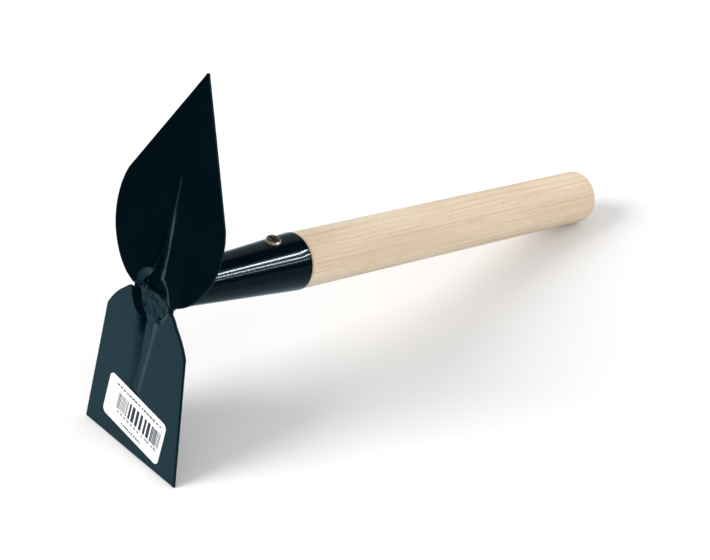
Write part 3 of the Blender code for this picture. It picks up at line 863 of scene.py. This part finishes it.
def makeBeech():
    constants = {"Specular IOR Level": beech["specular"]}
    made, tree, shader, spot = startMaterial("beechWood", constants, toolAxes)
    broad = noiseNode(tree, stretched(tree, spot, beech["broadSize"]), 1.0, 3.0)
    streaks = noiseNode(tree, stretched(tree, spot, beech["streakSize"]), 1.0, 3.0, 0.6)
    drift = noiseNode(tree, stretched(tree, spot, beech["driftSize"]), 1.0, 2.0, output="Color")
    pulled = stretched(tree, vectorNode(tree, "SUBTRACT", drift, (0.5, 0.5, 0.5)),
                       (0, beech["drift"], beech["drift"]))
    fromPith = vectorNode(tree, "SUBTRACT", vectorNode(tree, "ADD", pulled, spot), beech["pith"])
    reach = vectorNode(tree, "LENGTH", stretched(tree, fromPith, (0, 1, 1)))
    phase = mathNode(tree, "FRACT", times(tree, reach, beech["rings"]))
    late = ramp(tree, phase, beech["lateFrom"], 1.0)
    tone = mixed(tree, ramp(tree, broad, *beech["broadRange"]), beech["pale"], beech["warm"])
    ringShare = times(tree, late, ramp(tree, streaks, *beech["ringRange"]))
    ringed = mixed(tree, ringShare, tone, beech["late"])
    fine = mixed(tree, ramp(tree, streaks, *beech["fineRange"]), ringed, beech["late"])
    dash = specks(tree, stretched(tree, spot, beech["fleckSize"]), 1.0, beech["fleckShare"],
                  *beech["fleckEdge"])
    flecked = mixed(tree, times(tree, dash, beech["fleckFade"]), fine, beech["fleck"])
    dressShader(tree, shader, flecked, spread(tree, streaks, *beech["roughness"]),
                beech["bump"], mathNode(tree, "SUBTRACT", streaks, dash))
    return made


handlePiece = makeHandle(makeBeech())
print("handle turned")

# Screw

screw = {
    "setback": 0.0169,       # from the socket's mouth
    "lift": 0.00005,
    "headRadius": 0.0042,
    "headHeight": 0.0018,
    "headLean": 0.15,        # the head sits a little askew
    "headFoot": ((0, 0.0002), (0.0002, 0), (0.0005, 0), (0.0008, 0.00012)),  # height, how far inside
    "domeRise": 0.0009,      # the head's rounded top
    "domeRadius": 0.0040,
    "domeFlat": 0.0029,
    "swell": 0.00010,
    "swellSize": 420,
    "shank": 0.0020,
    "length": 0.0200,
    "point": 0.0050,
    "sides": 56,
    "recess": 0.0052,
    "recessWidth": 0.0014,
    "recessDepth": 0.0015,
    "recessTaper": 0.55,
    "recessTurn": radians(25),
    "hole": ((-0.0210, 0), (-0.0150, 0.0023), (0.0012, 0.0023), (0.0012, 0)),
    "holeSides": 32,
}
screwX = socket["mouth"] - screw["setback"]
screwLean = atan2(socket["mouthRadius"] - socket["waistRadius"], socket["mouth"])
screwAxes = (toolAxes @ Matrix.Translation((screwX, 0, socketRadius(screwX) + screw["lift"]))
             @ Matrix.Rotation(-pi / 2 - screwLean, 4, "Y"))


# Cuts two tapered bars, crossed, out of the head for the driver's recess.
def cutRecess(piece):
    for quarter in range(2):
        bm = bmesh.new()
        bmesh.ops.create_cube(bm, size=1)
        for point in bm.verts:
            narrow = screw["recessTaper"] if point.co.x < 0 else 1.0
            point.co.x *= 2 * screw["recessDepth"]
            point.co.y *= screw["recessWidth"] * narrow
            point.co.z *= screw["recess"] * narrow
        bmesh.ops.rotate(bm, verts=bm.verts[:], cent=(0, 0, 0),
                         matrix=Matrix.Rotation(screw["recessTurn"] + quarter * pi / 2, 3, "X"))
        bmesh.ops.translate(bm, verts=bm.verts[:], vec=(screw["headHeight"], 0, 0))
        drilled(piece, newObject(f"recessBar{quarter}", bm, screwAxes))


def makeScrew(material):
    top, shank, flat = screw["headHeight"], screw["shank"], screw["domeFlat"]
    profile = [(-screw["length"], 0), (screw["point"] - screw["length"], shank), (0, shank)]
    profile += [(height, screw["headRadius"] - inside) for height, inside in screw["headFoot"]]
    for turn in (8, 25, 42, 58, 74, 90):  # degrees, from the rim to the flat top
        fall = screw["domeRise"] * (1 - sin(radians(turn)))
        profile.append((top - fall, flat + (screw["domeRadius"] - flat) * cos(radians(turn))))
    profile.append((top, 0))
    bm = turnedProfile(profile, screw["sides"])
    for point in bm.verts:
        if point.co.x > -0.0001:  # the head alone
            swell = screw["swell"] * noise.noise(point.co * screw["swellSize"])
            point.co.x = max(point.co.x + swell, 0.0) + screw["headLean"] * point.co.y
    piece = finishMesh("screwPanHead", bm, material, "fixing_screw", screwAxes,
                       sharp=radians(35))
    cutRecess(piece)


zinc = {
    "bright": (0.93, 0.90, 0.74, 1),
    "deep": (0.62, 0.55, 0.34, 1),
    # Colour of the painted shade on the head: at its foot, and as a painted dark reflection over its top
    "paintedShade": (0.030, 0.024, 0.012, 1),
    "paintedShadeHeight": (0.0, 0.0005, 0.9),       # painted shade at the head's foot, fading out between two heights above the socket
    "paintedShadeMiddle": (0.0031, 0.0038, 0.95),   # and painted dark reflection over the head's top, fading out between two distances from the middle
    "mottleSize": 900.0,
    "toneRange": (0.35, 0.65),
    "paintedShadeRange": (0.22, 0.50),
    "metallic": 0.68,
    "roughness": (0.22, 0.38),
    "bump": (0.35, 0.0001),
}


def makeZinc():
    made, tree, shader, spot = startMaterial("yellowZinc", {"Metallic": zinc["metallic"]}, screwAxes)
    mottle = noiseNode(tree, spot, zinc["mottleSize"], 3.0)
    tone = mixed(tree, ramp(tree, mottle, *zinc["toneRange"]), zinc["deep"], zinc["bright"])
    height = addNode(tree, "SeparateXYZ", {0: spot}).outputs["X"]
    aside = vectorNode(tree, "LENGTH", stretched(tree, spot, (0, 1, 1)))
    # Painted shade at the head's foot and painted dark reflection over its top and recess, mottled
    low, inner = (ramp(tree, value, *zinc[key], 0.0)
                  for value, key in ((height, "paintedShadeHeight"), (aside, "paintedShadeMiddle")))
    paintedDark = times(tree, mathNode(tree, "MAXIMUM", low, inner),
                  ramp(tree, mottle, *zinc["paintedShadeRange"]))
    dressShader(tree, shader, mixed(tree, paintedDark, tone, zinc["paintedShade"]),
                spread(tree, mottle, *zinc["roughness"]), zinc["bump"], mottle)
    return made


makeScrew(makeZinc())
for piece in (socketPiece, handlePiece):
    drilled(piece, newObject("holeCutter", turnedProfile(screw["hole"], screw["holeSides"]), screwAxes))
print("screw driven")

# Label

label = {
    "width": 0.0488,
    "height": 0.0252,
    "corner": 0.0030,
    "thickness": 0.00022,
    "gap": 0.00006,
    "rise": 0.0201,          # cutting edge to its centre
    "side": -0.0011,
    "turn": radians(7.5),
}
labelPlace = (hoe["length"] - label["rise"], label["side"], -sheet["thickness"] / 2 - label["gap"])
labelAxes = hoeAxes @ Matrix.Translation(labelPlace) @ Matrix.Rotation(label["turn"], 4, "Z")


def makeLabel(material):
    bm = bmesh.new()
    bmesh.ops.create_grid(bm, x_segments=1, y_segments=1, size=0.5)
    bmesh.ops.scale(bm, vec=(label["height"], label["width"], 1), verts=bm.verts[:])
    bmesh.ops.bevel(bm, geom=bm.verts[:], affect="VERTICES", offset=label["corner"], segments=8,
                    profile=0.5, material=-1)
    grown = bmesh.ops.extrude_face_region(bm, geom=bm.faces[:], use_keep_orig=True)["geom"]
    outer = [item for item in grown if isinstance(item, bmesh.types.BMVert)]
    bmesh.ops.translate(bm, verts=outer, vec=(0, 0, -label["thickness"]))
    finishMesh("labelPaper", bm, material, "label", labelAxes, sharp=radians(30))


labelPrint = {
    "paper": (0.86, 0.875, 0.88, 1),
    "shade": (0.62, 0.64, 0.66, 1),
    "shadeShare": 0.10,
    "fibreSize": 1400.0,
    "ink": (0.008, 0.006, 0.016, 1),
    "inkShare": 0.97,
    "field": (-0.0037, 0.0057, -0.0037, 0.0184),     # bars: from and to up the label, middle, half width
    "fine": (0.00095, 47.5, 0.30, 0.90),     # at the ends: pitch, seed, least and most of it inked
    "coarse": (0.00330, 11.5, 0.46, 0.74),   # in the middle
    "coarseMiddle": -0.0045,
    "coarseHalf": (0.0104, 0.0108),
    "rules": ((0.0087, 0.0098, -0.0019, 0.0196, 0.0026, 5.5, 0.95),  # as field, then pitch, seed, ink
              (-0.0062, -0.0045, -0.0037, 0.0172, 0.0030, 23.5, 0.62),
              (-0.0103, -0.0092, 0.0003, 0.0092, 0.0019, 31.5, 0.95)),
    "ruleShares": (0.40, 0.88),
    "specular": 0.2,
    "roughness": (0.36, 0.50),
    "bump": (0.12, 0.00006),
}


# White paper with a plain field of upright bars between broken rules.
def makePaper():
    constants = {"Specular IOR Level": labelPrint["specular"]}
    made, tree, shader, spot = startMaterial("labelPaper", constants, labelAxes)
    parts = addNode(tree, "SeparateXYZ", {0: spot})
    up = times(tree, parts.outputs["X"], -1.0)
    across = parts.outputs["Y"]

    def inside(value, low, high):
        return times(tree, mathNode(tree, "GREATER_THAN", value, low),
                     mathNode(tree, "LESS_THAN", value, high))

    def oblong(low, high, centre, reach):
        return times(tree, inside(up, low, high), inside(across, centre - reach, centre + reach))

    # One bar in each cell of a row, as wide as its lot between two shares of the cell
    def barsOf(pitch, seed, least, most):
        turns = mathNode(tree, "DIVIDE", across, pitch)
        cell = mathNode(tree, "ADD", mathNode(tree, "FLOOR", turns), seed)
        lot = addNode(tree, "TexWhiteNoise", {"W": cell}, noise_dimensions="1D").outputs["Value"]
        width = mathNode(tree, "MULTIPLY_ADD", lot, most - least, least)
        return mathNode(tree, "LESS_THAN", mathNode(tree, "FRACT", turns), width)

    aside = mathNode(tree, "ABSOLUTE", mathNode(tree, "SUBTRACT", across, labelPrint["coarseMiddle"]))
    bars = mixed(tree, ramp(tree, aside, *labelPrint["coarseHalf"]),
                 barsOf(*labelPrint["coarse"]), barsOf(*labelPrint["fine"]), "FLOAT")
    inked = times(tree, bars, oblong(*labelPrint["field"]))
    for low, high, centre, reach, pitch, seed, fade in labelPrint["rules"]:
        rule = times(tree, oblong(low, high, centre, reach),
                     barsOf(pitch, seed, *labelPrint["ruleShares"]))
        inked = mathNode(tree, "MAXIMUM", inked, times(tree, rule, fade))
    inked = times(tree, inked, labelPrint["inkShare"])
    fibre = noiseNode(tree, spot, labelPrint["fibreSize"], 3.0)
    cloudy = mixed(tree, spread(tree, fibre, 0.0, labelPrint["shadeShare"]), labelPrint["paper"],
                   labelPrint["shade"])
    dressShader(tree, shader, mixed(tree, inked, cloudy, labelPrint["ink"]),
                spread(tree, fibre, *labelPrint["roughness"]), labelPrint["bump"], fibre)
    return made


makeLabel(makePaper())
print("label stuck on")

# Studio

studio = {
    "skyLow": 0.30,          # plain light from all round, a little more from above
    "skyHigh": 0.80,
    "keyStrength": 2.42,
    "keyTravels": (1.3, -0.55, -1.0),
    "keyAngle": radians(34),
    "fillStrength": 1.15,    # soft light from the handle's near side
    "fillTravels": (-0.25, 1.0, -0.48),
    "fillAngle": radians(70),
    "sheetLow": (-0.62, -0.75),      # corners of the white sheet that it lies on
    "sheetHigh": (1.05, 0.95),
    "sheetDrop": 0.0002,     # how far the sheet lies below the tool
    "floorSeen": 0.89,       # colour of the floor to the camera
    "floorMirrored": 0.60,   # in reflections, which are a little cooler
    "mirroredTone": (0.66, 0.90, 1.0),
    "floorLight": 0.72,      # and as it lights the tool
    "sheetEnds": (-0.50, -0.33),     # where reflections of it fade out, along X
    "mirroredBeyond": 0.02,
    "nearSide": (-0.13, -0.02),      # and grow dim towards the camera, along Y
    "nearShade": 0.32,
    "roomDark": (0.010, 0.010, 0.010, 1),
    "wallGlow": (0.27, 0.29, 0.30, 1),
    "wallTowards": (0.50, 0.86, 0.14),
    "wallReach": (0.62, 0.80),
    "stripsAbout": (-0.08, 0, 0.08),
    "stripsAway": 2.0,
}


def makeFloor():
    bm = bmesh.new()
    bmesh.ops.create_grid(bm, x_segments=1, y_segments=1, size=0.5)
    (x0, y0), (x1, y1) = studio["sheetLow"], studio["sheetHigh"]
    middle = ((x0 + x1) / 2, (y0 + y1) / 2, -studio["sheetDrop"])
    bmesh.ops.scale(bm, vec=(x1 - x0, y1 - y0, 1), verts=bm.verts[:])
    bmesh.ops.translate(bm, vec=middle, verts=bm.verts[:])
    floor = newObject("whiteFloor", bm)
    made = bpy.data.materials.new("floorSheet")
    made.use_nodes = True
    tree = made.node_tree
    tree.nodes.remove(tree.nodes["Principled BSDF"])
    path = addNode(tree, "LightPath").outputs
    spot = addNode(tree, "TexCoord").outputs["Object"]
    place = addNode(tree, "SeparateXYZ", {0: spot}).outputs
    reflected = mathNode(tree, "MAXIMUM", path["Is Glossy Ray"], path["Is Transmission Ray"])
    mirrored = ramp(tree, place["X"], *studio["sheetEnds"], studio["mirroredBeyond"],
                    studio["floorMirrored"])
    dimmed = ramp(tree, place["Y"], *studio["nearSide"], studio["nearShade"], 1.0)
    mirrored = times(tree, mirrored, dimmed)
    shade = mixed(tree, reflected, studio["floorLight"], mirrored, "FLOAT")
    shade = mixed(tree, path["Is Camera Ray"], shade, studio["floorSeen"], "FLOAT")
    cool = mixed(tree, reflected, (1, 1, 1), studio["mirroredTone"], "VECTOR")
    color = addNode(tree, "VectorMath", {0: cool, "Scale": shade}, operation="SCALE").outputs[0]
    sheetShader = addNode(tree, "BsdfDiffuse", {"Color": color})
    tree.links.new(sheetShader.outputs[0], tree.nodes["Material Output"].inputs["Surface"])
    floor.data.materials.append(made)


def makeWorld():
    world = bpy.data.worlds.new("studioWorld")
    bpy.context.scene.world = world
    world.use_nodes = True
    tree = world.node_tree
    tree.nodes.clear()
    path = addNode(tree, "LightPath")
    way = addNode(tree, "TexCoord").outputs["Generated"]
    wall = Vector(studio["wallTowards"]).normalized()
    facing = vectorNode(tree, "DOT_PRODUCT", way, wall)
    glow = ramp(tree, facing, *studio["wallReach"])
    room = mixed(tree, glow, studio["roomDark"], studio["wallGlow"])
    height = addNode(tree, "SeparateXYZ", {0: way}).outputs["Z"]
    sky = ramp(tree, height, 0.0, 1.0, studio["skyLow"], studio["skyHigh"], kind="LINEAR")
    mirrored = mixed(tree, path.outputs["Is Glossy Ray"], sky, room)
    color = mixed(tree, path.outputs["Is Camera Ray"], mirrored, (1, 1, 1, 1))
    back = addNode(tree, "Background", {"Color": color, "Strength": 1.0})
    end = tree.nodes.new("ShaderNodeOutputWorld")
    tree.links.new(back.outputs[0], end.inputs["Surface"])


def addLamp(name, kind, towards, settings, place=(0, 0, 0)):
    lamp = bpy.data.lights.new(name, kind)
    for key, value in settings.items():
        setattr(lamp, key, value)
    made = bpy.data.objects.new(name, lamp)
    made.location = place
    made.rotation_mode = "QUATERNION"
    made.rotation_quaternion = towards.to_track_quat("-Z", "Y")
    bpy.context.scene.collection.objects.link(made)
    return made


def makeLights():
    for name in ("key", "fill"):
        settings = {"energy": studio[name + "Strength"], "angle": studio[name + "Angle"]}
        soft = addLamp(name + "Light", "SUN", Vector(studio[name + "Travels"]), settings)
        soft.visible_glossy = False
    for number, (azimuth, elevation, length, width, strength) in enumerate(stripLights):
        a, e = radians(azimuth), radians(elevation)
        away = Vector((cos(a) * cos(e), sin(a) * cos(e), sin(e)))
        place = Vector(studio["stripsAbout"]) + studio["stripsAway"] * away
        settings = {"shape": "RECTANGLE", "size": length, "size_y": width, "energy": strength}
        strip = addLamp(f"strip{number}", "AREA", -away, settings, place)
        strip.visible_diffuse = False


# azimuth, elevation, length, width, watts: the row of tubes that draws lines along the socket
stripLights = [
    (-37, 34, 0.72, 0.044, 9.6),
    (-46, 23.5, 0.64, 0.038, 5.4),
    (-53, 14, 0.52, 0.030, 1.0),
]
makeFloor()
makeWorld()
makeLights()
print("studio lit")

# Camera

view = {
    "azimuth": radians(-40.501),
    "elevation": radians(35.3239),
    "roll": radians(-0.5828),
    "place": (-0.5610, -0.64211, 0.63327),
    "lens": 97.127,
}


def makeCamera():
    a, e, r = view["azimuth"], view["elevation"], view["roll"]
    right = Vector((cos(a), sin(a), 0))
    back = Vector((sin(a) * cos(e), -cos(a) * cos(e), sin(e)))
    up = back.cross(right)
    leanRight = cos(r) * right + sin(r) * up
    leanUp = cos(r) * up - sin(r) * right
    lens = bpy.data.cameras.new("photoView")
    lens.lens = view["lens"]
    lens.sensor_width = 36
    lens.clip_start, lens.clip_end = 0.01, 20
    camera = bpy.data.objects.new("photoView", lens)
    turn = Matrix((leanRight, leanUp, back)).transposed().to_4x4()
    camera.matrix_world = Matrix.Translation(view["place"]) @ turn
    bpy.context.scene.collection.objects.link(camera)
    bpy.context.scene.camera = camera


makeCamera()
bpy.context.scene.view_settings.view_transform = "Standard"
